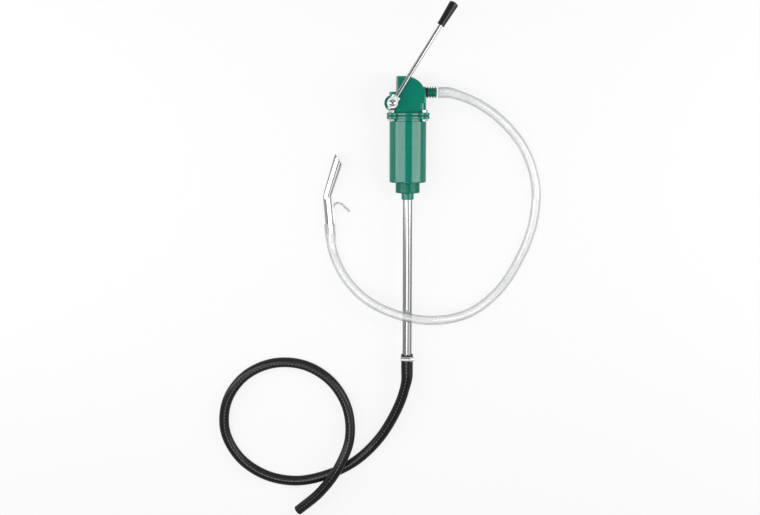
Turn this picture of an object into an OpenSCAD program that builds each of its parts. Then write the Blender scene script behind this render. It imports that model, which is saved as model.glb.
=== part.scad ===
// Lever-operated barrel pump with suction hose, discharge hose and spout. Millimetres.
// The pump lies on its back: +Y runs up the pump axis, +Z points away from the floor.
// The origin is on the pump axis, at the shoulder that seats on the barrel's bung.

/* [Cylinder] */
// Outside diameter of the cylinder
body_d = 89; // [76:0.5:110]
// Length from the bung shoulder to the flange joint
body_len = 160; // [130:1:200]
// Thickness of the cylinder's wall
body_wall = 6.5; // [5:0.25:9]
// Thickness of the cylinder's bottom
body_floor = 12; // [8:0.5:18]
// Rounding of the cylinder's lower edge
body_round = 3; // [1:0.5:6]

/* [Flange joint] */
// Thickness of each flange
flange_t = 7; // [5:0.5:10]
// Overhang of the flange beyond the cylinder
flange_lip = 1.5; // [1:0.25:4]
// Rounding of the flanges' rims
rim_round = 1.75; // [0.5:0.25:3]
// Radius of the bolt lugs
lug_r = 12; // [10:0.25:14]
// Direction of the bolts, from the X axis
bolt_angle = 41; // [35:1:50]
// Thread diameter of the flange bolts
bolt_d = 8; // [6:0.5:9]
// Thickness of the flange gasket
gasket_t = 1; // [0.5:0.25:2]

/* [Head] */
// Reach of the head to the outlet side of the axis
head_right = 43; // [40:0.5:50]
// Reach of the upper head to the lever side of the axis
head_left = 28; // [24:0.5:32]
// Height of the shoulder on the lever side
head_step = 56.5; // [54:0.5:66]
// Height of the centre of the crown's curve
crown_up = 43; // [40:0.5:52]
// Radius of the crown's curve
crown_r = 50.5; // [46:0.5:56]
// Depth of the head, front to back
head_depth = 64; // [58:0.5:70]
// Wall of the head
head_wall = 6; // [4:0.5:7]
// Rounding of the head's edges
head_round = 5; // [2:0.5:8]

/* [Lever and crank] */
// Distance of the lever's pivot from the pump axis
pivot_x = 38; // [34:0.5:42]
// Height of the pivot above the head's flange face
pivot_up = 30; // [28:0.5:36]
// Lean of the lever from upright, at the end of its swing
lever_lean = 32; // [24:1:34]
// Length of the lever from its pivot
lever_len = 274.5; // [200:0.5:340]
// Diameter of the lever's rod
rod_d = 9.5; // [8:0.5:12]
// Diameter of the grip at its free end
grip_d = 22.5; // [18:0.5:28]
// Diameter of the grip at the rod
grip_neck_d = 17.5; // [14:0.5:20]
// Length of the grip
grip_len = 62; // [40:1:90]
// Diameter of the crank shaft
shaft_d = 16; // [12:0.5:18]

/* [Outlet] */
// Height of the outlet above the head's flange face
outlet_up = 55.5; // [50:0.5:60]
// Length of the ribbed outlet connector
ribbed_len = 23.5; // [18:0.5:32]
// Diameter of the outlet connector over its ribs
ribbed_d = 28; // [25:0.5:32]

/* [Barrel side] */
// Outside diameter of the bung thread
bung_d = 59.6; // [59.6:0.1:60]
// Length of the bung thread
bung_len = 25.5; // [20:0.5:32]
// Diameter of the suction tube
tube_d = 22; // [18:0.5:26]
// Length of the suction tube below the bung thread
tube_len = 444.5; // [300:0.5:600]
// Length of tube that the suction hose covers
tube_grip = 41; // [25:1:60]

/* [Hoses and spout] */
// Outside diameter of the discharge hose
out_hose_d = 22; // [17:0.5:24]
// Bore of the discharge hose
out_hose_bore = 16; // [12:0.5:18]
// Outside diameter of the suction hose
in_hose_d = 25; // [20:0.5:30]
// Bore of the suction hose
in_hose_bore = 16; // [12:0.5:18]
// Diameter of the spout's tube and of the hose tail at the outlet
spout_d = 19; // [16:0.5:20]
// Diameter of the spout at its mouth
mouth_d = 23.5; // [20:0.5:25]
// Angle of the spout's bend
spout_bend = 22.5; // [10:0.5:45]
// Diameter of the hook's wire
hook_d = 4.4; // [3:0.2:6]

/* [Fits] */
// Clearance on the radius of pieces that turn or slide
run_fit = 0.05; // [0.01:0.01:0.1]
// Clearance on the radius of pieces that are fixed together
set_fit = 0.02; // [0:0.01:0.05]
// Gap that the crank pin has in the yoke's slot, above and below
slot_gap = 0.8; // [0.6:0.05:1.5]

/* [Hidden] */
$fn = 96;
green = [0.02, 0.48, 0.40];
steel = [0.72, 0.73, 0.75];
chrome = [0.82, 0.83, 0.85];
brass = [0.75, 0.62, 0.32];
black = [0.08, 0.08, 0.09];
rubber = [0.13, 0.13, 0.14];
clear = [0.86, 0.88, 0.89];
milk = [0.80, 0.80, 0.79];

// Levels along the pump axis, from the bung shoulder
body_r = body_d / 2;
bore_r = body_r - body_wall;
joint_y = body_len;
head_y = joint_y + gasket_t;
deck_y = head_y + flange_t;
pivot_y = head_y + pivot_up;
crown_y = head_y + crown_up;
crown_x = head_right - crown_r;
top_y = crown_y + crown_r;
step_y = head_y + head_step;
outlet_y = head_y + outlet_up;
flange_r = body_r + flange_lip;
floor_z = -flange_r;

// Bolts: the hexagons turn a flat to the cylinder's neck
hex_flat = 1.625 * bolt_d;
bolt_ring = body_r + hex_flat / 2 + 0.6;
bolt_x = bolt_ring * cos(bolt_angle);
bolt_z = bolt_ring * sin(bolt_angle);
bolt_head = 0.66 * bolt_d;
bolt_nut = 0.8 * bolt_d;
scoop_r = hex_flat / 2 / cos(30) + 2.5;
scoop_h = 23;
neck_len = bolt_head + 0.7;
neck_r = body_r - 1.5;

// Head and its shaft
head_half = head_depth / 2;
room_half = head_half - head_wall;
register_r = bore_r + 1.4;
register_len = 14.8;
room_r = register_r - 2.4;
shaft_r = shaft_d / 2;
bush_r = shaft_r + 3;
boss_r = bush_r + 8;
boss_half = bolt_z - hex_flat / 2 / cos(30) - 0.8;
nose_r = bush_r + 3;
nose_front = 41;
nose_back = 37;
hub_r = shaft_r + 5;
pocket_r = hub_r + 1.5;
pocket_half = 20.2;
crank_half = pocket_half - 0.6;
bush_in = pocket_half - 0.2;
bush_end = 36;

// Crank and yoke, drawn with the lever at the end of its swing and the piston down
crank_r = pivot_x;
pin_r = 6;
arm_half = 6;
arm_w = 16;
eye_r = 10;
pin_x = -pivot_x + crank_r * cos(lever_lean);
pin_y = pivot_y - crank_r * sin(lever_lean);
yoke_in = arm_half + 1;
yoke_out = yoke_in + 7;
yoke_top = pin_r + slot_gap + 6;
bridge_top = eye_r + 4;
bridge_t = 8;
yoke_y = pin_y - bridge_top - bridge_t;
slot_end = 1.2;

// Lever head
lever_z = 50;
lever_hub_half = 8;
lever_hub_r = hub_r;
neck_w = 20.5;
neck_top = 18.5;
socket_y = shaft_r + 2;

// Outlet side
seat_x = head_right - 0.4;
seal_t = 2.8;
ribbed_x = seat_x + seal_t;
ribbed_end = ribbed_x + ribbed_len;
rib_h = 2;
ribbed_core = ribbed_d / 2 - rib_h;
seat_r = ribbed_core + 1.5;
spigot_r = 8;
waterway_r = 6;
tail_r = spout_d / 2;
tail_root = tail_r - 0.9;
tail_out = 18;
hose_gap = 4.2;
out_wall = (out_hose_d - out_hose_bore) / 2;
out_flare = tail_r + out_wall + 0.35;

// Barrel side
bung_r = bung_d / 2;
screw_r = 25;
tube_r = tube_d / 2;
tube_bore = tube_r - 1.5;
socket_len = 12.5;
collar_r = tube_r + 4;
collar_len = 16;
collar_seal_t = 0.5;
collar_y = -bung_len - collar_seal_t;
tube_end = -bung_len - tube_len;
in_hose_y = tube_end + tube_grip;
in_wall = (in_hose_d - in_hose_bore) / 2;
in_flare = tube_r + in_wall - 0.8;
band_r = in_flare + 0.1;
band_w = 10.3;
band_y = in_hose_y - 14.6;

// Foot valve
stem_r = 3;
poppet_r = 14;
seat_gap = 0.3;
poppet_t = 3;
cage_in = 19.5;
cage_out = 24.5;
cage_y = body_floor + 8.5;

// Piston, at the bottom of its stroke
nut_y = body_floor + 15;
nut_t = 7;
plate_y = nut_y + nut_t;
plate_t = 5;
cup_y = plate_y + plate_t;
cup_t = 3;
cup_h = 12;
cup_wall = 4;
crown_base = cup_y + cup_h;
piston_top = crown_base + 14;
stud_r = 5;
stem_rod_r = 6.5;
valve_r = 27;
valve_t = 3;
valve_lift = 4;
port_ring = 20;
port_r = 5;
stop_y = piston_top + seat_gap + valve_t + valve_lift + 0.3;
guide_y = head_y - register_len - 12.2;
guide_t = 12;

// Spout: foot of its tube on the floor, lean to the left of the pump axis
spout_x = -191;
spout_y = -130;
spout_lean = 4.8;
spout_cover = 24;
spout_low = 85;
bend_r = 45;
spout_up = 86;
mouth_cut = 40;
spout_wall = 1.2;
out_end_flare = spout_d / 2 + out_wall + 0.35;
spout_z = floor_z + out_end_flare;
hook_bend = 13.5;
hook_foot = 26;
hook_rise = 61;
hook_sweep = 137;
hook_tail = 26;

// Route of the discharge hose between its two straight ends: x, y, then how much of the
// drop from the outlet is left, then how much of the rise over the suction tube is taken
out_route = [
    [118, 211, 0.97, 0],
    [156, 197, 0.86, 0],
    [232, 146, 0.50, 0],
    [290, 74, 0.17, 0],
    [318, -14, 0, 0],
    [312, -107, 0, 0],
    [280, -194, 0, 0],
    [230, -272, 0, 0.08],
    [154, -326, 0, 0.46],
    [62, -339, 0, 0.93],
    [-29, -323, 0, 1],
    [-112, -282, 0, 0.62],
    [-170, -212, 0, 0.16],
];

// Route of the suction hose from the tube's end: x, y from the tube's end, then how much
// of the drop from the tube is left, then how much of the rise over its own strand is taken
in_route = [
    [-7, -54, 0.84, 0],
    [-34, -126, 0.40, 0],
    [-76, -194, 0.08, 0],
    [-134, -249, 0, 0],
    [-206, -284, 0, 0],
    [-284, -299, 0, 0],
    [-363, -283, 0, 0],
    [-427, -237, 0, 0],
    [-463, -166, 0, 0],
    [-456, -87, 0, 0],
    [-410, -23, 0, 0],
    [-338, 10, 0, 0],
    [-259, 5, 0, 0],
    [-192, -37, 0, 0],
    [-151, -106, 0, 0.12],
    [-145, -184, 0, 0.55],
    [-174, -257, 0, 1],
    [-221, -324, 0, 0.62],
    [-279, -379, 0, 0],
];
cross_gap = 1.2;

// Stands a piece drawn along z on the pump axis
module on_axis(y = 0) {
    translate([0, y, 0]) rotate([-90, 0, 0]) children();
}

// Turns a piece drawn along z to point at the outlet side
module to_outlet(x) {
    translate([x, outlet_y, 0]) rotate([0, 90, 0]) children();
}

// Repeats a piece at the four flange bolts, standing along the pump axis
module at_bolts(y) {
    for (sx = [-1, 1], sz = [-1, 1])
        translate([sx * bolt_x, y, sz * bolt_z])
            rotate([-90, 0, 0])
                rotate([0, 0, -sx * sz * bolt_angle + 30])
                    children();
}

module hexagon(flat, h) {
    cylinder(r = flat / 2 / cos(30), h = h, $fn = 6);
}

module pipe(r, bore, h) {
    difference() {
        cylinder(r = r, h = h);
        translate([0, 0, -1]) cylinder(r = bore, h = h + 2);
    }
}

// Rectangle with true round corners
module soft_rect(x0, x1, y0, y1, r) {
    translate([x0 + r, y0]) square([x1 - x0 - 2 * r, y1 - y0]);
    translate([x0, y0 + r]) square([x1 - x0, y1 - y0 - 2 * r]);
    for (x = [x0 + r, x1 - r], y = [y0 + r, y1 - r])
        translate([x, y]) circle(r = r);
}

module at_lugs() {
    for (a = [bolt_angle, 180 - bolt_angle, 180 + bolt_angle, -bolt_angle])
        rotate(a) children();
}

// Half of a rim's section: a plate of the given reach with a round edge
module rim(r) {
    intersection() {
        soft_rect(-r, r, 0, flange_t, rim_round);
        square([r, flange_t]);
    }
}

// Flange: a disc with four round lugs, whose webs are a little narrower
module flange() {
    web = lug_r - 0.4;
    rotate_extrude() rim(flange_r);
    at_lugs() {
        translate([bolt_ring, 0, 0]) rotate_extrude() rim(lug_r);
        rotate([90, 0, 90]) linear_extrude(bolt_ring) soft_rect(-web, web, 0, flange_t, rim_round);
    }
}

// Outline of the gasket, drawn in from the flanges' rims
module gasket_outline() {
    circle(r = flange_r - rim_round);
    at_lugs() {
        translate([0, rim_round - lug_r]) square([bolt_ring, 2 * (lug_r - rim_round)]);
        translate([bolt_ring, 0]) circle(r = lug_r - rim_round);
    }
}

module bolt_holes(y, h) {
    at_bolts(y) cylinder(d = bolt_d + 1, h = h);
}

// Slab of the head: a lower block, the lever-side tower and a quarter-round crown
module head_block() {
    on_axis(head_y)
        linear_extrude(crown_y - head_y)
            soft_rect(-body_r, head_right, -head_half, head_half, head_round);
    on_axis(crown_y - 1)
        linear_extrude(step_y - crown_y + 1)
            soft_rect(-body_r, 0, -head_half, head_half, head_round);
    intersection() {
        on_axis(crown_y - 1)
            linear_extrude(crown_r + 1)
                soft_rect(-head_left, 20, -head_half, head_half, head_round);
        translate([-head_left, 0, 0])
            rotate([90, 0, 90])
                linear_extrude(head_left + crown_x)
                    soft_rect(crown_y - 40, top_y, -head_half, head_half, head_round);
        translate([0, 0, -head_half])
            linear_extrude(head_depth)
                soft_rect(-head_left, 20, crown_y - 40, top_y, 3);
    }
    translate([crown_x, crown_y, 0])
        rotate_extrude(angle = 90)
            intersection() {
                soft_rect(-crown_r, crown_r, -head_half, head_half, head_round);
                translate([0, -head_half]) square([crown_r, head_depth]);
            }
}

// Room inside the head, seen from the front
module room_outline() {
    translate([-room_r, deck_y - 2]) square([2 * room_r, crown_y - deck_y + 2]);
    translate([-room_r, crown_y - 1]) square([room_r, step_y - head_wall - crown_y + 1]);
    translate([head_wall - head_left, crown_y - 1])
        square([head_left - head_wall + crown_x, crown_r - head_wall + 1]);
    intersection() {
        translate([crown_x, crown_y]) circle(r = crown_r - head_wall);
        translate([crown_x - 1, crown_y - 1]) square([crown_r, crown_r]);
    }
}

module head_room() {
    on_axis(head_y - register_len - 1) cylinder(r = room_r, h = register_len + flange_t);
    intersection() {
        on_axis(deck_y - 2) cylinder(r = room_r, h = 120);
        translate([0, 0, -room_half]) linear_extrude(2 * room_half) room_outline();
    }
    translate([-pivot_x, pivot_y, -pocket_half]) cylinder(r = pocket_r, h = 2 * pocket_half);
    translate([-pivot_x, pivot_y - 21, -pocket_half])
        cube([pivot_x - 10, step_y - head_wall - pivot_y + 21, 2 * pocket_half]);
}

module head_casting() {
    color(green) difference() {
        union() {
            on_axis(head_y) flange();
            on_axis(head_y - register_len) cylinder(r = register_r - set_fit, h = register_len + 1);
            difference() {
                head_block();
                at_bolts(deck_y) cylinder(r = scoop_r, h = scoop_h);
            }
            translate([-pivot_x, pivot_y, -boss_half]) cylinder(r = boss_r, h = 2 * boss_half);
            translate([-pivot_x, pivot_y, -nose_back]) cylinder(r = nose_r, h = nose_back + nose_front);
            to_outlet(seat_x - 12) cylinder(r = seat_r, h = 12);
        }
        head_room();
        bolt_holes(head_y - 1, flange_t + 2);
        translate([-pivot_x, pivot_y, 1 - bush_end]) cylinder(r = bush_r, h = 2 * bush_end - 1);
        translate([-pivot_x, pivot_y, bush_end]) cylinder(r = bush_r + 1.2, h = 10);
        to_outlet(seat_x - 20) cylinder(r = spigot_r + set_fit, h = 25);
        to_outlet(seat_x) cylinder(r = seat_r, h = 10);
    }
}

module cylinder_body() {
    color(green) difference() {
        on_axis() {
            rotate_extrude() {
                translate([0, body_round]) square([body_r, body_len - flange_t - neck_len - body_round]);
                square([body_r - body_round, body_len]);
                translate([body_r - body_round, body_round]) circle(r = body_round);
                polygon([[0, body_len - flange_t - neck_len - 0.01],
                    [body_r, body_len - flange_t - neck_len - 0.01],
                    [neck_r, body_len - flange_t - neck_len + 1],
                    [neck_r, body_len - 1], [0, body_len - 1]]);
            }
            translate([0, 0, body_len - flange_t]) flange();
        }
        on_axis(-1) cylinder(r = screw_r + set_fit, h = body_floor + 2);
        on_axis(body_floor) cylinder(r = bore_r, h = body_len);
        on_axis(guide_y) cylinder(r = register_r, h = body_len);
        bolt_holes(body_len - flange_t - 1, flange_t + 2);
    }
}

module flange_gasket() {
    color(black) difference() {
        on_axis(joint_y) linear_extrude(gasket_t) gasket_outline();
        on_axis(joint_y - 1) cylinder(r = register_r, h = gasket_t + 2);
        bolt_holes(joint_y - 1, gasket_t + 2);
    }
}

// Bolts come up from below, because the shaft's boss stands over two of them
module flange_bolts() {
    color(steel) at_bolts(body_len - flange_t) {
        translate([0, 0, -bolt_head]) hexagon(hex_flat, bolt_head);
        translate([0, 0, -1]) cylinder(d = bolt_d, h = 2 * flange_t + gasket_t + bolt_nut + 2.5);
    }
}

module flange_nuts() {
    color(steel) at_bolts(deck_y)
        difference() {
            hexagon(hex_flat, bolt_nut);
            translate([0, 0, -1]) cylinder(d = bolt_d + 2 * set_fit, h = bolt_nut + 2);
        }
}

// Spider that keeps the piston rod on the axis and lets the liquid past
module rod_guide() {
    color(brass) on_axis(guide_y) difference() {
        union() {
            pipe(register_r - set_fit, bore_r - 3, guide_t);
            cylinder(r = stem_rod_r + 4, h = guide_t);
            for (a = [30, 150, 270])
                rotate(a) translate([0, -3, 2]) cube([bore_r - 2, 6, guide_t - 4]);
        }
        translate([0, 0, -1]) cylinder(r = stem_rod_r + run_fit, h = guide_t + 2);
    }
}

module front_bush() {
    color(brass) translate([-pivot_x, pivot_y, bush_in])
        pipe(bush_r - set_fit, shaft_r + run_fit, bush_end - bush_in);
}

module rear_bush() {
    color(brass) translate([-pivot_x, pivot_y, 1 - bush_end])
        pipe(bush_r - set_fit, shaft_r + run_fit, bush_end - 1 - bush_in);
}

module shaft_seal() {
    color(black) translate([-pivot_x, pivot_y, bush_end])
        rotate_extrude() difference() {
            translate([shaft_r + run_fit, 0]) square([bush_r + 1.2 - set_fit - shaft_r - run_fit, 4]);
            translate([shaft_r + 2, 2]) square([1.2, 3]);
        }
}

module outlet_seal() {
    color(black) to_outlet(seat_x) pipe(11.4, spigot_r + set_fit, seal_t);
}

// Ribbed connector that screws into the head
module outlet_connector() {
    pitch = (ribbed_len - 3) / 3.35;
    color(green) to_outlet(ribbed_x) difference() {
        union() {
            translate([0, 0, -12]) cylinder(r = spigot_r, h = 13);
            rotate_extrude() {
                square([ribbed_core, ribbed_len]);
                for (i = [0 : 3])
                    translate([ribbed_core - 0.01, 2.2 + i * pitch])
                        polygon([[0, -1.8], [rib_h - 0.3, -0.9], [rib_h, -0.6], [rib_h, 0.6], [rib_h - 0.3, 0.9], [0, 1.8]]);
            }
        }
        translate([0, 0, -13]) cylinder(r = waterway_r, h = ribbed_len + 20);
        translate([0, 0, ribbed_len - 14]) cylinder(r = tail_root + set_fit, h = 20);
    }
}

module hose_tail() {
    color(milk) to_outlet(ribbed_end) difference() {
        union() {
            translate([0, 0, -14]) cylinder(r = tail_root, h = 15);
            cylinder(r = tail_r, h = tail_out - 3);
            translate([0, 0, tail_out - 3]) cylinder(r1 = tail_r, r2 = tail_r - 1.5, h = 3);
        }
        translate([0, 0, -15]) cylinder(r = waterway_r, h = tail_out + 20);
    }
}

// Points between the route's own points, on a smooth curve through them
function blend(a, b, c, d) = (-a + 9 * b + 9 * c - d) / 16;
function before(p, i) = i > 0 ? p[i - 1] : 2 * p[0] - p[1];
function after(p, i) = i < len(p) - 2 ? p[i + 2] : 2 * p[i + 1] - p[i];
function smooth(p) = [
    for (i = [0 : len(p) - 2])
        each [p[i], blend(before(p, i), p[i], p[i + 1], after(p, i))],
    p[len(p) - 1]
];
// Keeps a hose of radius r on the floor
function rest(p, r) = [for (q = p) [q[0], q[1], max(q[2], floor_z + r)]];
function unit(v) = v / norm(v);
function heading(p, i) = unit(p[min(i + 1, len(p) - 1)] - p[max(i - 1, 0)]);
function ring(p, i, r, n) =
    let (t = heading(p, i), side = unit(cross(t, [0, 0, 1])), up = cross(side, t))
    [for (k = [0 : n - 1]) p[i] + r * (cos(360 * k / n) * side + sin(360 * k / n) * up)];
function band(a, b, n) = [
    for (k = [0 : n - 1])
        each [[a + k, a + (k + 1) % n, b + (k + 1) % n], [a + k, b + (k + 1) % n, b + k]]
];

// Hollow hose along a route: outside and bore radius are given for every ring
module hose(p, outside, bore) {
    n = 12;
    m = len(p);
    points = concat(
        [for (i = [0 : m - 1]) each ring(p, i, outside[i], n)],
        [for (i = [0 : m - 1]) each ring(p, i, bore[i] / cos(180 / n), n)]
    );
    faces = concat(
        [for (i = [0 : m - 2]) each band(i * n, (i + 1) * n, n)],
        [for (i = [0 : m - 2]) each band((m + i + 1) * n, (m + i) * n, n)],
        band(m * n, 0, n),
        band((m - 1) * n, (2 * m - 1) * n, n)
    );
    polyhedron(points = points, faces = faces);
}

// Wide over the fittings at the ends, then down to the hose's own size
function sized(m, first, last, wide_a, wide_b, plain) = [
    for (i = [0 : m - 1])
        i <= first ? wide_a :
        i == first + 1 ? (wide_a + plain) / 2 :
        i >= m - last ? wide_b :
        i == m - last - 1 ? (wide_b + plain) / 2 :
        plain
];

function spout_point(s) = [
    spout_x - s * sin(spout_lean), spout_y + s * cos(spout_lean), spout_z
];

module discharge_hose() {
    r = out_hose_d / 2;
    rise = tube_r + cross_gap - floor_z;
    tail_end = ribbed_end + tail_out;
    way = rest(smooth(concat(
        [[ribbed_end + hose_gap, outlet_y, 0], [tail_end, outlet_y, 0], [tail_end + 9, outlet_y, 0]],
        [for (q = out_route) [q[0], q[1], floor_z + r - q[2] * (floor_z + r) + q[3] * rise]],
        [spout_point(-27), spout_point(-3), spout_point(spout_cover)]
    )), r);
    m = len(way);
    color(clear) hose(
        way,
        sized(m, 2, 3, out_flare, out_end_flare, r),
        sized(m, 2, 3, tail_r + set_fit, spout_d / 2 + set_fit, out_hose_bore / 2)
    );
}

// Bent tube with a mouth that widens and is cut on a slant
module spout_form(r, r_mouth, extra) {
    translate([0, -extra, 0]) rotate([-90, 0, 0]) cylinder(r = r, h = spout_low + extra);
    translate([bend_r, spout_low, 0])
        rotate_extrude(start = 180 - spout_bend, angle = spout_bend)
            translate([bend_r, 0]) circle(r = r);
    translate([bend_r, spout_low, 0])
        rotate([0, 0, -spout_bend])
            translate([-bend_r, -0.5, 0])
                rotate([-90, 0, 0])
                    cylinder(r1 = r + 0.1, r2 = r_mouth, h = spout_up + 12.5);
}

module spout_tube() {
    color(chrome) translate(spout_point(0)) rotate([0, 0, spout_lean]) difference() {
        spout_form(spout_d / 2, mouth_d / 2, 0);
        spout_form(spout_d / 2 - spout_wall, mouth_d / 2 - spout_wall, 5);
        translate([bend_r, spout_low, 0])
            rotate([0, 0, -spout_bend])
                translate([-bend_r, spout_up, 0])
                    rotate([0, 0, -mouth_cut])
                        translate([-60, 0, -40]) cube([120, 60, 80]);
    }
}

// Wire hook welded along the spout
module spout_hook() {
    wire = hook_d / 2;
    leg_x = spout_d / 2 + wire + set_fit;
    color(chrome) translate(spout_point(0)) rotate([0, 0, spout_lean]) {
        translate([leg_x, hook_foot, 0]) rotate([-90, 0, 0]) cylinder(r = wire, h = hook_rise - hook_foot);
        translate([leg_x + hook_bend, hook_rise, 0]) {
            rotate_extrude(start = 180 - hook_sweep, angle = hook_sweep)
                translate([hook_bend, 0]) circle(r = wire);
            rotate([0, 0, 180 - hook_sweep])
                translate([hook_bend, 0.5, 0])
                    rotate([90, 0, 0])
                        cylinder(r = wire - 0.1, h = hook_tail + 0.5);
        }
    }
}

// Adapter with the bung thread, the suction socket and the foot valve's seat
module bung_adapter() {
    color(green) on_axis() difference() {
        union() {
            translate([0, 0, -bung_len]) cylinder(r = bung_r, h = bung_len);
            translate([0, 0, -1]) cylinder(r = screw_r, h = body_floor + 1);
        }
        difference() {
            translate([0, 0, -socket_len - 2]) cylinder(r = tube_bore, h = 60);
            translate([0, 0, -8]) difference() {
                union() {
                    cylinder(r = stem_r + 2, h = 6);
                    for (a = [90, 210, 330])
                        rotate(a) translate([0, -1.25, 0]) cube([tube_bore + 1, 2.5, 6]);
                }
                translate([0, 0, -1]) cylinder(r = stem_r + run_fit, h = 8);
            }
        }
        translate([0, 0, -bung_len - 1]) cylinder(r = tube_r + set_fit, h = bung_len + 1 - socket_len);
    }
}

module foot_valve_cage() {
    color(brass) on_axis() {
        translate([0, 0, body_floor]) pipe(cage_out, cage_in, 2.5);
        for (a = [30, 150, 270])
            rotate(a) translate([(cage_in + cage_out) / 2, 0, body_floor + 1])
                cylinder(r = 2, h = cage_y - body_floor);
        translate([0, 0, cage_y]) pipe(cage_out, 6, 2.5);
    }
}

module foot_valve_poppet() {
    color(brass) on_axis(body_floor + seat_gap) {
        cylinder(r = poppet_r, h = poppet_t - 1);
        translate([0, 0, poppet_t - 1]) cylinder(r1 = poppet_r, r2 = poppet_r - 1, h = 1);
        translate([0, 0, -body_floor - 7]) cylinder(r = stem_r, h = body_floor + 8);
    }
}

module collar_seal() {
    color(black) on_axis(collar_y) pipe(collar_r - 1, tube_r + set_fit, collar_seal_t);
}

module tube_collar() {
    color(green) on_axis(collar_y - collar_len) difference() {
        union() {
            cylinder(r1 = collar_r - 1.2, r2 = collar_r, h = 1.5);
            translate([0, 0, 1.5]) cylinder(r = collar_r, h = collar_len - 3);
            translate([0, 0, collar_len - 1.5]) cylinder(r1 = collar_r, r2 = collar_r - 1.2, h = 1.5);
        }
        translate([0, 0, -1]) cylinder(r = tube_r + set_fit, h = collar_len + 2);
    }
}

module suction_tube() {
    color(steel) on_axis(tube_end) pipe(tube_r, tube_bore, -socket_len - tube_end);
}

module suction_hose() {
    r = in_hose_d / 2;
    rise = in_hose_d + cross_gap;
    way = rest(smooth(concat(
        [[0, in_hose_y, 0], [0, tube_end - 2, 0], [0, tube_end - 16, 0]],
        [for (q = in_route) [q[0], tube_end + q[1], floor_z + r - q[2] * (floor_z + r) + q[3] * rise]]
    )), r);
    m = len(way);
    color(rubber) hose(
        way,
        sized(m, 2, 0, in_flare, r, r),
        sized(m, 2, 0, tube_r + set_fit, in_hose_bore / 2, in_hose_bore / 2)
    );
}

module clamp_band() {
    color(chrome) on_axis(band_y) difference() {
        pipe(band_r + 1, band_r, band_w);
        for (i = [0 : 3])
            rotate(60 + 20 * i) translate([band_r - 2, -1, 2.4]) cube([6, 2, band_w - 4.8]);
    }
}

module clamp_housing() {
    color(chrome) difference() {
        translate([-8, band_y - 0.5, band_r + 1]) cube([15, band_w + 1, 8]);
        translate([-9, band_y + band_w / 2, band_r + 5]) rotate([0, 90, 0]) cylinder(r = 3.4, h = 20);
        on_axis(band_y - 1) cylinder(r = band_r + 1 + set_fit, h = band_w + 2);
    }
}

module clamp_screw() {
    color(chrome) translate([0, band_y + band_w / 2, band_r + 5]) rotate([0, 90, 0]) {
        translate([0, 0, -17]) cylinder(r = 3.4 - set_fit, h = 24);
        translate([0, 0, 7]) cylinder(r = 5, h = 1.2);
        translate([0, 0, 8.2]) difference() {
            hexagon(8, 8.6);
            translate([-0.6, -6, 6.6]) cube([1.2, 12, 4]);
        }
    }
}

module crank_shaft() {
    color(steel) translate([-pivot_x, pivot_y, 0]) difference() {
        translate([0, 0, 1.5 - bush_end]) cylinder(r = shaft_r, h = bush_end - 1.5 + lever_z + 4);
        translate([0, 0, lever_z - 10]) cylinder(r = 3 + set_fit, h = 20);
        rotate([0, 0, -lever_lean]) translate([-20, 0, 13]) rotate([0, 90, 0]) cylinder(r = 2.5 + set_fit, h = 40);
    }
}

module crank_arm() {
    color(steel) translate([-pivot_x, pivot_y, 0]) rotate([0, 0, -lever_lean]) difference() {
        union() {
            translate([0, 0, -crank_half]) cylinder(r = hub_r, h = 2 * crank_half);
            translate([0, -arm_w / 2, -arm_half]) cube([crank_r, arm_w, 2 * arm_half]);
            translate([crank_r, 0, -arm_half]) cylinder(r = eye_r, h = 2 * arm_half);
        }
        translate([0, 0, -30]) cylinder(r = shaft_r + set_fit, h = 60);
        translate([crank_r, 0, -10]) cylinder(r = pin_r + set_fit, h = 20);
        translate([-20, 0, 13]) rotate([0, 90, 0]) cylinder(r = 2.5 + set_fit, h = 40);
    }
}

module arm_pin() {
    color(steel) translate([-pivot_x, pivot_y, 13]) rotate([0, 0, -lever_lean])
        translate([0.5 - hub_r, 0, 0]) rotate([0, 90, 0]) cylinder(r = 2.5, h = 2 * hub_r - 1);
}

module crank_pin() {
    color(steel) translate([pin_x, pin_y, -yoke_out - 1]) cylinder(r = pin_r, h = 2 * yoke_out + 2);
}

// Places a piece drawn with the lever upright along +Y at the lever's height
module on_lever() {
    translate([-pivot_x, pivot_y, lever_z]) rotate([0, 0, -lever_lean]) children();
}

module lever_hub() {
    color(chrome) on_lever() difference() {
        union() {
            translate([0, 0, -lever_hub_half]) cylinder(r = lever_hub_r, h = 2 * lever_hub_half);
            translate([-neck_w / 2, 6, 1 - lever_hub_half]) cube([neck_w, neck_top - 6, 2 * lever_hub_half - 2]);
        }
        translate([0, 0, -lever_hub_half - 1]) cylinder(r = shaft_r + set_fit, h = lever_hub_half + 5);
        translate([0, 0, -1]) cylinder(r = 3.3, h = 20);
        translate([0, socket_y, 0]) rotate([-90, 0, 0]) cylinder(d = rod_d + 2 * set_fit, h = 40);
        translate([0, 0, -1]) rotate([90, 0, 0]) cylinder(r = 4 + set_fit, h = 30);
    }
}

module hub_set_screw() {
    color(chrome) on_lever() translate([0, -shaft_r - set_fit, -1]) rotate([90, 0, 0]) difference() {
        cylinder(r = 4, h = lever_hub_r - shaft_r + 3.5);
        translate([0, 0, lever_hub_r - shaft_r + 0.5]) hexagon(4, 5);
    }
}

module hub_bolt() {
    dome = 8.2;
    color(chrome) on_lever() difference() {
        union() {
            translate([0, 0, -9]) cylinder(r = 3, h = lever_hub_half + 10);
            translate([0, 0, lever_hub_half]) rotate_extrude() intersection() {
                translate([0, 4 - 12]) circle(r = 12);
                square([dome, 5]);
            }
        }
        translate([0, 0, lever_hub_half + 1.5]) hexagon(6, 8);
    }
}

module lever_rod() {
    color(chrome) on_lever() translate([0, socket_y, 0]) rotate([-90, 0, 0])
        cylinder(d = rod_d, h = lever_len - socket_y - 16);
}

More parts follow.
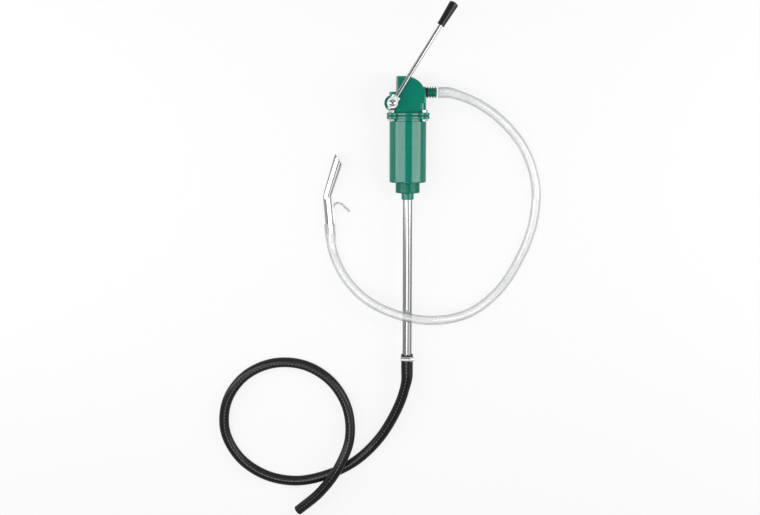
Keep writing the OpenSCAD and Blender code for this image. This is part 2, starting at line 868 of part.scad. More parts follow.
module lever_grip() {
    neck = grip_neck_d / 2;
    wide = grip_d / 2;
    dome = wide * wide / 8 + 2;
    full = grip_len - 5;
    color(black) on_lever() translate([0, lever_len - grip_len, 0]) rotate([-90, 0, 0]) difference() {
        rotate_extrude() difference() {
            union() {
                polygon([[0, 0], [neck, 0], [wide, full], [0, full]]);
                square([neck + 0.8, 2.5]);
                intersection() {
                    translate([0, grip_len - dome]) circle(r = dome);
                    soft_rect(-wide, wide, full - 10, grip_len + 1, 3);
                    translate([0, full]) square([wide, 6]);
                }
            }
            for (i = [1 : 4])
                translate([neck + (wide - neck) * 10 * i / full - 0.5, 10 * i]) square([2, 1]);
        }
        translate([0, 0, -1]) cylinder(d = rod_d + 2 * set_fit, h = grip_len - 15);
    }
}

module piston_rod() {
    color(steel) on_axis() difference() {
        union() {
            translate([0, 0, nut_y - 2]) cylinder(r = stud_r, h = piston_top - nut_y + 3);
            translate([0, 0, piston_top]) cylinder(r = stem_rod_r, h = yoke_y + bridge_t - piston_top);
        }
        translate([-20, 0, yoke_y + bridge_t / 2]) rotate([0, 90, 0]) cylinder(r = 1.8 + set_fit, h = 40);
    }
}

// Two slotted cheeks on a bridge: the crank pin runs across in the slots
module piston_yoke() {
    half = pin_r + slot_gap;
    slot_a = pin_x - slot_end;
    slot_b = slot_end;
    color(brass) difference() {
        union() {
            for (z = [-yoke_out, yoke_in])
                translate([slot_a - half - 6, yoke_y, z])
                    cube([slot_b - slot_a + 2 * half + 12, pin_y + yoke_top - yoke_y, yoke_out - yoke_in]);
            translate([-9, yoke_y, -yoke_out]) cube([18, bridge_t, 2 * yoke_out]);
        }
        for (x = [slot_a, slot_b])
            translate([x, pin_y, -40]) cylinder(r = half, h = 80);
        translate([slot_a, pin_y - half, -40]) cube([slot_b - slot_a, 2 * half, 80]);
        on_axis(yoke_y - 1) cylinder(r = stem_rod_r + set_fit, h = bridge_t + 2);
        translate([-20, yoke_y + bridge_t / 2, 0]) rotate([0, 90, 0]) cylinder(r = 1.8 + set_fit, h = 40);
    }
}

module yoke_pin() {
    color(steel) translate([-9, yoke_y + bridge_t / 2, 0]) rotate([0, 90, 0]) cylinder(r = 1.8, h = 18);
}

module ports(h) {
    for (i = [0 : 5])
        rotate(60 * i) translate([port_ring, 0, -1]) cylinder(r = port_r, h = h);
}

module piston_crown() {
    color(brass) on_axis() difference() {
        union() {
            translate([0, 0, cup_y + cup_t]) cylinder(r = bore_r - cup_wall - 0.2, h = cup_h);
            translate([0, 0, crown_base]) cylinder(r = bore_r - 0.7, h = piston_top - crown_base);
        }
        translate([0, 0, cup_y]) cylinder(r = stud_r + set_fit, h = 60);
        translate([0, 0, cup_y]) ports(60);
    }
}

module piston_cup() {
    color(black) on_axis(cup_y) difference() {
        cylinder(r = bore_r - run_fit, h = cup_h);
        translate([0, 0, cup_t]) cylinder(r = bore_r - cup_wall, h = cup_h);
        translate([0, 0, -1]) cylinder(r = stud_r + set_fit, h = 20);
        ports(20);
    }
}

module piston_plate() {
    color(brass) on_axis(plate_y) difference() {
        cylinder(r = bore_r - 1.5, h = plate_t);
        translate([0, 0, -1]) cylinder(r = stud_r + set_fit, h = 20);
        ports(20);
    }
}

module rod_nut() {
    color(steel) on_axis(nut_y) difference() {
        hexagon(16, nut_t);
        translate([0, 0, -1]) cylinder(r = stud_r + set_fit, h = 20);
    }
}

module piston_valve() {
    color(black) on_axis(piston_top + seat_gap) pipe(valve_r, stem_rod_r + run_fit, valve_t);
}

module valve_stop() {
    color(steel) on_axis(stop_y) pipe(stem_rod_r + 7, stem_rod_r + set_fit, 3);
}

head_casting();
cylinder_body();
flange_gasket();
flange_bolts();
flange_nuts();
rod_guide();
front_bush();
rear_bush();
shaft_seal();
outlet_seal();
outlet_connector();
hose_tail();
discharge_hose();
spout_tube();
spout_hook();
bung_adapter();
foot_valve_cage();
foot_valve_poppet();
collar_seal();
tube_collar();
suction_tube();
suction_hose();
clamp_band();
clamp_housing();
clamp_screw();
crank_shaft();
crank_arm();
arm_pin();
crank_pin();
lever_hub();
hub_set_screw();
hub_bolt();
lever_rod();
lever_grip();
piston_rod();
piston_yoke();
yoke_pin();
piston_crown();
piston_cup();
piston_plate();
rod_nut();
piston_valve();
valve_stop();
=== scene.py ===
import math

import bpy
import bmesh
from mathutils import Matrix, Vector


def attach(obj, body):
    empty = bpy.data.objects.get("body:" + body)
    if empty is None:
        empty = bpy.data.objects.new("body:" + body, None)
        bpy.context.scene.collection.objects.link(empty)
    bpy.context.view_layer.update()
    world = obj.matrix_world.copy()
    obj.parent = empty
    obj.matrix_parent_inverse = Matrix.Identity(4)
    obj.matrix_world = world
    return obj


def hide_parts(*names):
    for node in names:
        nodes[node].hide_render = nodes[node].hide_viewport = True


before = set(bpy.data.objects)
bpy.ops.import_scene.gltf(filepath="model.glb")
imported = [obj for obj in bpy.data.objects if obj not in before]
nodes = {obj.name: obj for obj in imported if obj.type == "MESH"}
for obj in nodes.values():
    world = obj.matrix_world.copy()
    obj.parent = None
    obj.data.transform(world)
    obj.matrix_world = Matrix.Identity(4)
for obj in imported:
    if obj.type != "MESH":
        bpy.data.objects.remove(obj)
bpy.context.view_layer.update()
scene = bpy.context.scene
scene.view_settings.view_transform = "Standard"

# Studio: the pump lies on a pale sweep and is seen from above, a little from the lever's end.
# Two soft boxes stand at the cylinder's sides and leave a dark gap overhead, between them.
# Three more give the lever, the tube and the spout their light, from the other sides.
camera = bpy.data.objects.new("studio_camera", bpy.data.cameras.new("studio_camera"))
scene.collection.objects.link(camera)
camera.data.sensor_fit = "HORIZONTAL"
camera.data.sensor_width = 36.0
camera.data.lens = 49.03
camera.data.clip_end = 20.0
camera.location = (-0.06745, 0.16091, 2.52641)
camera.rotation_euler = (math.radians(-7.8), 0.0, 0.0)
scene.camera = camera


def soft_box(name, inner, outer, middle_y, length, glow):
    """A panel of a given glow between two points of the cross-section, facing the pump."""
    lamp = bpy.data.lights.new(name, "AREA")
    lamp.shape = "RECTANGLE"
    across = Vector((outer[0] - inner[0], 0.0, outer[1] - inner[1]))
    lamp.size = across.length
    lamp.size_y = length
    lamp.energy = glow * math.pi * lamp.size * length
    panel = bpy.data.objects.new(name, lamp)
    scene.collection.objects.link(panel)
    middle = Vector(((inner[0] + outer[0]) / 2, middle_y, (inner[1] + outer[1]) / 2))
    side = across.normalized()
    back = Vector((-side.z, 0.0, side.x))
    if back.z < 0:
        back = -back
    along = back.cross(side)
    facing = Matrix((side, along, back)).transposed().to_4x4()
    panel.matrix_world = Matrix.Translation(middle) @ facing
    panel.visible_camera = False


soft_box("soft_box_left", inner=(-0.60, 1.90), outer=(-2.25, 0.24),
         middle_y=0.10, length=0.58, glow=4.5)
soft_box("soft_box_right", inner=(0.80, 1.78), outer=(2.45, 0.24),
         middle_y=0.10, length=0.58, glow=4.5)
soft_box("soft_box_lever", inner=(1.25, 1.62), outer=(2.40, 0.80),
         middle_y=-0.61, length=1.02, glow=1.2)
soft_box("soft_box_over", inner=(-0.95, 1.95), outer=(0.18, 1.95),
         middle_y=-0.66, length=0.95, glow=3.2)
soft_box("soft_box_far", inner=(-0.28, 1.75), outer=(0.55, 1.75),
         middle_y=1.25, length=0.95, glow=1.8)


# Room: white where the camera or a clear wall looks into it, and a dim light for everything else.
# Bright metal mirrors it pale at the horizon and dark overhead.
def reckon(tree, operation, *fixed):
    """A node that works on two values; the later ones may be fixed."""
    node = tree.nodes.new("ShaderNodeMath")
    node.operation = operation
    for i, value in enumerate(fixed, 1):
        node.inputs[i].default_value = value
    return node


def spread(tree, start, end, low=0.0, high=1.0):
    """A node that carries a value over from one range to another."""
    node = tree.nodes.new("ShaderNodeMapRange")
    for socket, value in (("From Min", start), ("From Max", end), ("To Min", low), ("To Max", high)):
        node.inputs[socket].default_value = value
    return node


world = bpy.data.worlds.new("studio_room")
scene.world = world
world.use_nodes = True
room = world.node_tree
room_light = room.nodes["Background"]
room_light.inputs["Color"].default_value = (0.95, 0.97, 1.0, 1.0)
room_light.inputs["Strength"].default_value = 0.14
room_seen = room.nodes.new("ShaderNodeBackground")
room_seen.inputs["Color"].default_value = (1.0, 1.0, 1.0, 1.0)
room_path = room.nodes.new("ShaderNodeLightPath")
room_way = room.nodes.new("ShaderNodeTexCoord")
room_split = room.nodes.new("ShaderNodeSeparateXYZ")
room_high = spread(room, 0.0, 0.85, low=0.55, high=0.05)
room_gloss = reckon(room, "MULTIPLY")
room_clear = reckon(room, "MAXIMUM")
room_any = reckon(room, "MAXIMUM")
room_mix = room.nodes.new("ShaderNodeMixShader")
room.links.new(room_way.outputs["Generated"], room_split.inputs[0])
room.links.new(room_split.outputs["Z"], room_high.inputs["Value"])
room.links.new(room_path.outputs["Is Glossy Ray"], room_gloss.inputs[0])
room.links.new(room_high.outputs["Result"], room_gloss.inputs[1])
room.links.new(room_path.outputs["Is Camera Ray"], room_clear.inputs[0])
room.links.new(room_path.outputs["Is Transmission Ray"], room_clear.inputs[1])
room.links.new(room_clear.outputs[0], room_any.inputs[0])
room.links.new(room_gloss.outputs[0], room_any.inputs[1])
room.links.new(room_any.outputs[0], room_mix.inputs[0])
room.links.new(room_light.outputs[0], room_mix.inputs[1])
room.links.new(room_seen.outputs[0], room_mix.inputs[2])
room.links.new(room_mix.outputs[0], room.nodes["World Output"].inputs["Surface"])

# Floor: a wide sheet of white paper a hair below the pump, which keeps the pump's shadow.
# It fades to plain white with distance, and throws back less light than it shows.
floor_level = -0.046
paper_top = floor_level - 0.0002
paper_half = 9.0
floor_mesh = bpy.data.meshes.new("studio_floor")
floor_mesh.from_pydata(
    [(x * paper_half, y * paper_half, paper_top) for x, y in ((-1, -1), (1, -1), (1, 1), (-1, 1))],
    [], [(0, 1, 2, 3)])
floor = bpy.data.objects.new("studio_floor", floor_mesh)
scene.collection.objects.link(floor)
paper = bpy.data.materials.new("studio_paper")
paper.use_nodes = True
sheet = paper.node_tree
sheet.nodes.clear()
paper_far = sheet.nodes.new("ShaderNodeBsdfDiffuse")
paper_far.inputs["Color"].default_value = (0.50, 0.50, 0.50, 1.0)
paper_lit = sheet.nodes.new("ShaderNodeBsdfDiffuse")
paper_lit.inputs["Color"].default_value = (0.92, 0.92, 0.92, 1.0)
paper_glow = sheet.nodes.new("ShaderNodeEmission")
paper_glow.inputs["Color"].default_value = (1.0, 1.0, 1.0, 1.0)
paper_path = sheet.nodes.new("ShaderNodeLightPath")
paper_gloss = reckon(sheet, "MULTIPLY", 0.30)
paper_seen = reckon(sheet, "MAXIMUM")
paper_any = reckon(sheet, "MAXIMUM")
paper_place = sheet.nodes.new("ShaderNodeTexCoord")
paper_reach = sheet.nodes.new("ShaderNodeVectorMath")
paper_reach.operation = "LENGTH"
paper_fade = spread(sheet, 0.5, 2.6, low=0.80, high=1.0)
paper_fade.interpolation_type = "SMOOTHSTEP"
paper_near = sheet.nodes.new("ShaderNodeMixShader")
paper_mix = sheet.nodes.new("ShaderNodeMixShader")
paper_out = sheet.nodes.new("ShaderNodeOutputMaterial")
sheet.links.new(paper_path.outputs["Is Camera Ray"], paper_seen.inputs[0])
sheet.links.new(paper_path.outputs["Is Glossy Ray"], paper_gloss.inputs[0])
sheet.links.new(paper_gloss.outputs[0], paper_seen.inputs[1])
sheet.links.new(paper_seen.outputs[0], paper_any.inputs[0])
sheet.links.new(paper_path.outputs["Is Transmission Ray"], paper_any.inputs[1])
sheet.links.new(paper_place.outputs["Object"], paper_reach.inputs[0])
sheet.links.new(paper_reach.outputs["Value"], paper_fade.inputs["Value"])
sheet.links.new(paper_fade.outputs["Result"], paper_near.inputs[0])
sheet.links.new(paper_lit.outputs[0], paper_near.inputs[1])
sheet.links.new(paper_glow.outputs[0], paper_near.inputs[2])
sheet.links.new(paper_any.outputs[0], paper_mix.inputs[0])
sheet.links.new(paper_far.outputs[0], paper_mix.inputs[1])
sheet.links.new(paper_near.outputs[0], paper_mix.inputs[2])
sheet.links.new(paper_mix.outputs[0], paper_out.inputs["Surface"])
floor.data.materials.append(paper)


# Cylinder: one casting with a bottom, a relieved neck and a flange with four lugs, bored inside.
# It is sprayed with glossy teal enamel, which lies a little uneven over the cast skin.
def finish_coat(name, colour, tint=0.06, rough=(0.2, 0.3), grain=120.0, stretch=(1, 1, 1),
                bump=0.0, bump_grain=900.0, **sockets):
    """A surface whose colour and gloss drift with a noise, with a fine relief on top."""
    coat = bpy.data.materials.new(name)
    coat.use_nodes = True
    tree = coat.node_tree
    bsdf = tree.nodes["Principled BSDF"]
    place = tree.nodes.new("ShaderNodeTexCoord")
    fit = tree.nodes.new("ShaderNodeMapping")
    fit.inputs["Scale"].default_value = stretch
    drift = tree.nodes.new("ShaderNodeTexNoise")
    drift.inputs["Scale"].default_value = grain
    drift.inputs["Detail"].default_value = 4.0
    drift_low, drift_high = 0.3, 0.7
    shade = tree.nodes.new("ShaderNodeValToRGB")
    low = [c * (1 - tint) for c in colour]
    high = [min(1.0, c * (1 + tint)) for c in colour]
    shade.color_ramp.elements[0].position = drift_low
    shade.color_ramp.elements[1].position = drift_high
    shade.color_ramp.elements[0].color = (*low, 1.0)
    shade.color_ramp.elements[1].color = (*high, 1.0)
    gloss = spread(tree, drift_low, drift_high, *rough)
    tree.links.new(place.outputs["Object"], fit.inputs["Vector"])
    tree.links.new(fit.outputs["Vector"], drift.inputs["Vector"])
    tree.links.new(drift.outputs["Fac"], shade.inputs["Fac"])
    tree.links.new(shade.outputs["Color"], bsdf.inputs["Base Color"])
    tree.links.new(drift.outputs["Fac"], gloss.inputs["Value"])
    tree.links.new(gloss.outputs["Result"], bsdf.inputs["Roughness"])
    if bump:
        skin = tree.nodes.new("ShaderNodeTexNoise")
        skin.inputs["Scale"].default_value = bump_grain
        skin.inputs["Detail"].default_value = 3.0
        relief = tree.nodes.new("ShaderNodeBump")
        relief.inputs["Strength"].default_value = 0.6
        relief.inputs["Distance"].default_value = bump
        tree.links.new(fit.outputs["Vector"], skin.inputs["Vector"])
        tree.links.new(skin.outputs["Fac"], relief.inputs["Height"])
        tree.links.new(relief.outputs["Normal"], bsdf.inputs["Normal"])
    for socket, value in sockets.items():
        bsdf.inputs[socket.replace("_", " ")].default_value = value
    return coat


def dress(name, coat, edge=0.0004):
    """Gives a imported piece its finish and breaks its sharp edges."""
    piece = nodes[name]
    piece.data.materials.clear()
    piece.data.materials.append(coat)
    for face in piece.data.polygons:
        face.use_smooth = True
    weld = piece.modifiers.new("join_seams", "WELD")
    weld.merge_threshold = 0.000005
    if edge:
        bevel = piece.modifiers.new("broken_edges", "BEVEL")
        bevel.width = edge
        bevel.segments = 2
        bevel.limit_method = "ANGLE"
        bevel.angle_limit = math.radians(28)
        bevel.harden_normals = True
    even = piece.modifiers.new("even_normals", "WEIGHTED_NORMAL")
    even.keep_sharp = True


enamel = finish_coat(
    "teal_enamel", (0.0005, 0.205, 0.137), tint=0.05, rough=(0.08, 0.13), grain=45.0,
    bump=0.00006, bump_grain=520.0, IOR=1.46)
dress("cylinder_body", enamel, 0.0006)


# Bung adapter: the threaded neck that screws into the barrel, turned with a fine pipe thread.
# It is cast and enamelled with the cylinder's colour, and its upper end screws into the cylinder.
def on_pump_axis(radius, angle, level):
    """A point round the pump axis, from its radius, angle and level along the axis."""
    return (radius * math.cos(angle), level, radius * math.sin(angle))


def ring_mesh(name, rows):
    """Skins rows of equally many points, each row a closed ring and the last joined to the first."""
    count = len(rows[0])
    points = [p for row in rows for p in row]
    faces = []
    for i in range(len(rows)):
        a, b = i * count, (i + 1) % len(rows) * count
        for k in range(count):
            n = (k + 1) % count
            faces.append((a + k, a + n, b + n, b + k))
    mesh = bpy.data.meshes.new(name)
    mesh.from_pydata(points, [], faces)
    return mesh


def add_piece(name, mesh, coat, body, slot, *stands_for, sharp=32.0):
    """Links a made piece, faces it outwards, smooths it and puts it on its body."""
    form = bmesh.new()
    form.from_mesh(mesh)
    bmesh.ops.recalc_face_normals(form, faces=form.faces)
    form.to_mesh(mesh)
    form.free()
    mesh.materials.append(coat)
    piece = bpy.data.objects.new(name, mesh)
    scene.collection.objects.link(piece)
    for face in mesh.polygons:
        face.use_smooth = True
    mesh.set_sharp_from_angle(angle=math.radians(sharp))
    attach(piece, body)
    if stands_for:
        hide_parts(*stands_for)
    return piece


thread_pitch, thread_depth = 0.002309, 0.0010
thread_crest = 0.0298
thread_lead, thread_fade = 0.0012, 0.002
flank_slope, root_width = 2.2, 0.6
neck_length = 0.0255
upper_end, upper_radius = 0.0120, 0.0250
neck_bore = 0.0095
tube_socket, socket_top = 0.01102, -0.0125
bung_shoulder = [(upper_end, neck_bore), (upper_end, upper_radius), (0.0, upper_radius),
                 (0.0, 0.0288), (-0.0004, 0.0290)]
bung_tip = [(-0.0252, 0.0286), (-neck_length, 0.0282), (-neck_length, tube_socket),
            (socket_top, tube_socket), (socket_top, neck_bore)]
bung_sides, thread_rows = 120, 132


def bung_rings(profile):
    """Plain rings of the adapter from levels and radii."""
    return [[on_pump_axis(radius, math.tau * k / bung_sides, level) for k in range(bung_sides)]
            for level, radius in profile]


threads = []
for i in range(thread_rows + 1):
    y = -thread_lead - (neck_length - 2 * thread_lead) * i / thread_rows
    fade = min(1.0, -y / thread_fade, (neck_length + y) / thread_fade)
    ring = []
    for k in range(bung_sides):
        turn = (y / thread_pitch + k / bung_sides) % 1.0
        rise = min(1.0, max(0.0, flank_slope * abs(2 * turn - 1) - root_width))
        radius = thread_crest - thread_depth * (1 - rise * fade)
        ring.append(on_pump_axis(radius, math.tau * k / bung_sides, y))
    threads.append(ring)
bung_rows = bung_rings(bung_shoulder) + threads + bung_rings(bung_tip)
add_piece("bung_neck", ring_mesh("bung_neck", bung_rows), enamel, "pump_stand", "green_paint",
          "bung_adapter")

# Foot valve: a turned brass poppet under a cage, in the neck's upper end.
# It lifts on the piston's up stroke and is closed by the liquid's weight.
turned_brass = finish_coat(
    "turned_brass", (0.62, 0.44, 0.17), tint=0.08, rough=(0.24, 0.36), grain=60.0,
    stretch=(1, 14, 1), bump=0.00003, bump_grain=1400.0, Metallic=1.0)
for name in ("foot_valve_poppet", "foot_valve_cage"):
    dress(name, turned_brass)

# Piston: a plastic crown and plate with a rubber cup between them, on a steel rod with a nut.
# A rubber disc on the crown is the second valve, and a ring on the rod stops its lift.
# The rod runs in a brass guide and ends in a slotted brass yoke.
turned_steel = finish_coat(
    "turned_steel", (0.50, 0.51, 0.53), tint=0.08, rough=(0.22, 0.34), grain=80.0,
    stretch=(1, 10, 1), bump=0.00002, bump_grain=1500.0, Metallic=1.0)
seal_rubber = finish_coat(
    "seal_rubber", (0.018, 0.018, 0.019), tint=0.25, rough=(0.45, 0.62), grain=300.0,
    bump=0.00004, bump_grain=1600.0, IOR=1.5)
natural_plastic = finish_coat(
    "natural_plastic", (0.78, 0.785, 0.775), tint=0.03, rough=(0.28, 0.40), grain=140.0,
    bump=0.00002, bump_grain=900.0, IOR=1.5)
for name in ("piston_crown", "piston_plate"):
    dress(name, natural_plastic)
for name in ("piston_yoke", "rod_guide"):
    dress(name, turned_brass)
for name in ("piston_rod", "rod_nut", "yoke_pin", "valve_stop"):
    dress(name, turned_steel, 0.0003)
for name in ("piston_cup", "piston_valve"):
    dress(name, seal_rubber, 0.0003)

# Gasket: a thin black sheet, drawn in a little from the flanges' round rims and nipped between
# the two castings. Only its edge is seen.
dress("flange_gasket", seal_rubber, 0.0001)

# Head: one hollow casting with a flat front and back, a quarter-round crown over the outlet,
# a tower on the lever's side, the shaft's boss, and scoops that let a spanner at the nuts.
dress("head_casting", enamel, 0.0007)

# Crank: a steel shaft in two brass bushes with a lip seal, and the arm pinned on it inside.
# The arm's pin runs across in the yoke's slots and drives the piston.
for name in ("front_bush", "rear_bush"):
    dress(name, turned_brass)
dress("shaft_seal", seal_rubber, 0.0003)
for name in ("crank_shaft", "crank_arm", "arm_pin", "crank_pin"):
    dress(name, turned_steel, 0.0003)

# Flange bolts: four hexagon bolts from below with nuts on top, zinc plated.
# The hexagons have the usual turned chamfer, and the threads show above the nuts.
zinc = finish_coat(
    "zinc_plate", (0.62, 0.63, 0.65), tint=0.08, rough=(0.22, 0.36), grain=220.0,
    bump=0.00003, bump_grain=1500.0, Metallic=1.0)
across_flats = 0.0130
bolt_ring = 0.0516
bolt_lean = math.radians(41)
head_low, head_high = 0.14772, 0.153
nut_low, nut_high = 0.168, 0.1744
nut_bore, nut_mouth, mouth_depth = 0.00405, 0.0050, 0.0010
bolt_radius, bolt_end = 0.0040, 0.1759
shank_low, shank_high = 0.1528, 0.1676
cut_start, cut_stop, cut_step = 0.1677, bolt_end - 0.0011, 0.00016
cut_radius, cut_depth, cut_pitch = 0.00398, 0.0007, 0.00125
tip_neck, tip_end, tip_length = 0.0036, 0.0029, 0.0008
hexagon_sides, stem_sides = 72, 48
turned_share, past_corners = 0.95, 1.15
chamfer_slope = 0.5774


def hexagon_rows(low, high, chamfer_low, chamfer_high):
    """Radius, level and angle of a chamfered hexagon, in rows from its lower to its upper face."""
    rows = []
    for level, tilt, cut in ((low, 1, chamfer_low), (high, -1, chamfer_high)):
        flat = across_flats / 2 * (turned_share if cut else past_corners)
        rim, corner = [], []
        for k in range(hexagon_sides):
            a = math.tau * k / hexagon_sides
            reach = across_flats / 2 / math.cos((a + math.pi / 6) % (math.pi / 3) - math.pi / 6)
            drop = max(0.0, reach - flat) * chamfer_slope
            rim.append((min(reach, flat), level, a))
            corner.append((reach, level + tilt * drop, a))
        rows += [rim, corner] if tilt > 0 else [corner, rim]
    return rows


def round_row(radius, level, sides):
    """A round row of a bolt or nut: radius, level and angle of each point."""
    return [(radius, level, math.tau * k / sides) for k in range(sides)]


def at_bolt(rows, sx, sz):
    """Stands rows of (radius, level, angle) on one of the four bolt centres."""
    turn = math.atan2(sz * math.sin(bolt_lean), sx * math.cos(bolt_lean))
    cx, cz = bolt_ring * math.cos(turn), bolt_ring * math.sin(turn)
    return [[(cx + r * math.cos(a + turn), y, cz + r * math.sin(a + turn)) for r, y, a in row]
            for row in rows]


def lay_rings(form, rows, bored=False):
    """Adds a stack of rings to a mesh being built, capped, or closed on itself where it is bored."""
    made = [[form.verts.new(p) for p in row] for row in rows]
    count = len(rows[0])
    for low, high in zip(made, made[1:] + made[:1] if bored else made[1:]):
        for k in range(count):
            n = (k + 1) % count
            form.faces.new((low[k], low[n], high[n], high[k]))
    if not bored:
        form.faces.new(made[0][::-1])
        form.faces.new(made[-1])


def to_mesh(name, form):
    """Turns a form that has been built into a mesh."""
    mesh = bpy.data.meshes.new(name)
    form.to_mesh(mesh)
    form.free()
    return mesh


stem = [round_row(bolt_radius, y, stem_sides) for y in (shank_low, shank_high)]
level = cut_start
while level < cut_stop:
    stem.append([(cut_radius - cut_depth * abs(2 * ((level / cut_pitch + k / stem_sides) % 1.0) - 1),
                  level, math.tau * k / stem_sides) for k in range(stem_sides)])
    level += cut_step
stem.append(round_row(tip_neck, bolt_end - tip_length, stem_sides))
stem.append(round_row(tip_end, bolt_end, stem_sides))
bolt_head = hexagon_rows(head_low, head_high, True, False)
nut = hexagon_rows(nut_low, nut_high, True, True)
nut += [round_row(radius, y, hexagon_sides) for y, radius in (
    (nut_high, nut_mouth), (nut_high - mouth_depth, nut_bore),
    (nut_low + mouth_depth, nut_bore), (nut_low, nut_mouth))]
bolt_form = bmesh.new()
nut_form = bmesh.new()
for sx in (-1, 1):
    for sz in (-1, 1):
        lay_rings(bolt_form, at_bolt(bolt_head, sx, sz))
        lay_rings(bolt_form, at_bolt(stem, sx, sz))
        lay_rings(nut_form, at_bolt(nut, sx, sz), bored=True)
add_piece("flange_bolt_set", to_mesh("flange_bolt_set", bolt_form), zinc, "pump_stand", "steel",
          "flange_bolts", sharp=24.0)
add_piece("flange_nut_set", to_mesh("flange_nut_set", nut_form), zinc, "pump_stand", "steel",
          "flange_nuts", sharp=24.0)

# Lever hub: a plated clamp block on the shaft's end, with a domed bolt and a set screw.
# Its neck holds the lever's rod.
chrome = finish_coat(
    "bright_chrome", (0.64, 0.65, 0.67), tint=0.03, rough=(0.06, 0.13), grain=160.0,
    bump=0.00001, bump_grain=700.0, Metallic=1.0, Specular_Tint=(0.12, 0.12, 0.12, 1.0))
satin_plate = finish_coat(
    "satin_plate", (0.78, 0.79, 0.80), tint=0.05, rough=(0.36, 0.50), grain=190.0,
    bump=0.00003, bump_grain=1100.0, Metallic=1.0)
dress("lever_hub", satin_plate, 0.0009)
dress("hub_bolt", chrome, 0.0003)
dress("hub_set_screw", satin_plate, 0.0003)

# Lever rod: a plain round steel bar, plated bright.
# It is pressed into the hub's neck and carries the grip on its far end.
dress("lever_rod", chrome, 0.0003)

# Grip: a black moulded sleeve that widens to its domed end, with shallow rings for the hand.
# It is pushed on the rod.
grip_black = finish_coat(
    "grip_black", (0.006, 0.006, 0.0065), tint=0.20, rough=(0.18, 0.27), grain=260.0,
    bump=0.00006, bump_grain=900.0, IOR=1.5)
dress("lever_grip", grip_black, 0.0004)

# Outlet: a green connector with four ribs for the hand, screwed into the head on a black ring.
# A clear plastic tail is pushed into it, and the clear hose goes over that.
dress("outlet_seal", seal_rubber, 0.0002)
outlet_y = 0.2165
connector_foot, connector_end = 0.0454, 0.0689
connector_core, connector_bore = 0.0103, 0.0060
spigot_radius, spigot_length = 0.0080, 0.012
tail_radius, tail_depth = 0.00862, 0.014
rib_crest, rib_flat, rib_flank = 0.0140, 0.0004, 0.0018
rib_first, rib_pitch = 0.0022, 0.00612
rib_rows, rib_step = 95, 0.00025
connector_sides = 72
connector_profile = [(connector_foot - spigot_length, connector_bore),
                     (connector_foot - spigot_length, spigot_radius),
                     (connector_foot, spigot_radius)]
for i in range(rib_rows):
    reach = rib_step * i
    off = abs((reach - rib_first + rib_pitch / 2) % rib_pitch - rib_pitch / 2)
    t = min(1.0, max(0.0, (off - rib_flat) / rib_flank))
    radius = rib_crest + (connector_core - rib_crest) * t * t * (3 - 2 * t)
    connector_profile.append((connector_foot + reach, radius))
connector_profile += [(connector_end, tail_radius), (connector_end - tail_depth, tail_radius),
                      (connector_end - tail_depth, connector_bore)]
connector_turns = [math.tau * k / connector_sides for k in range(connector_sides)]
connector_rows = [[(x, outlet_y + r * math.cos(a), r * math.sin(a)) for a in connector_turns]
                  for x, r in connector_profile]
add_piece("outlet_connector_ribbed", ring_mesh("outlet_connector_ribbed", connector_rows), enamel,
          "pump_stand", "green_paint", "outlet_connector", sharp=50.0)
clear_plastic = finish_coat(
    "clear_plastic", (0.955, 0.96, 0.955), tint=0.01, rough=(0.10, 0.16), grain=140.0,
    IOR=1.04, Transmission_Weight=1.0)
dress("hose_tail", clear_plastic, 0.0003)

# Suction tube: drawn steel tube in the neck's socket, held by an enamelled collar and a seal.
# Drawing leaves fine streaks along it.
drawn_steel = finish_coat(
    "drawn_steel", (0.46, 0.46, 0.47), tint=0.07, rough=(0.18, 0.26), grain=140.0,
    stretch=(6, 0.08, 6), bump=0.000015, bump_grain=800.0, Metallic=1.0,
    Specular_Tint=(0.15, 0.15, 0.16, 1.0))
tube_radius, tube_foot = 0.011, -0.470
dress("suction_tube", drawn_steel, 0.0002)
dress("tube_collar", enamel, 0.0003)
dress("collar_seal", seal_rubber, 0.0001)


# Suction hose: black rubber hose pushed over the tube's end, in one loose loop on the floor.
# It has a plain dashed line along it and is cut square at its free end.
def through(points, parts):
    """Points on a smooth curve through a route's own points, however far apart they lie."""
    line = []
    for i in range(len(points) - 1):
        b, c = points[i], points[i + 1]
        a = points[i - 1] if i else 2 * b - c
        d = points[i + 2] if i + 2 < len(points) else 2 * c - b
        back, own, on = (b - a).length, (c - b).length, (d - c).length
        leave = (b - a) * (own / back) - (c - a) * (own / (back + own)) + (c - b)
        reach = (c - b) - (d - b) * (own / (own + on)) + (d - c) * (own / on)
        for j in range(parts):
            t = j / parts
            line.append((2 * t ** 3 - 3 * t ** 2 + 1) * b + (t ** 3 - 2 * t ** 2 + t) * leave
                        + (3 * t ** 2 - 2 * t ** 3) * c + (t ** 3 - t ** 2) * reach)
    line.append(points[-1].copy())
    return line


def rest(line, radius):
    """Keeps a hose of a given radius on the floor."""
    for p in line:
        p.z = max(p.z, floor_level + radius)
    return line


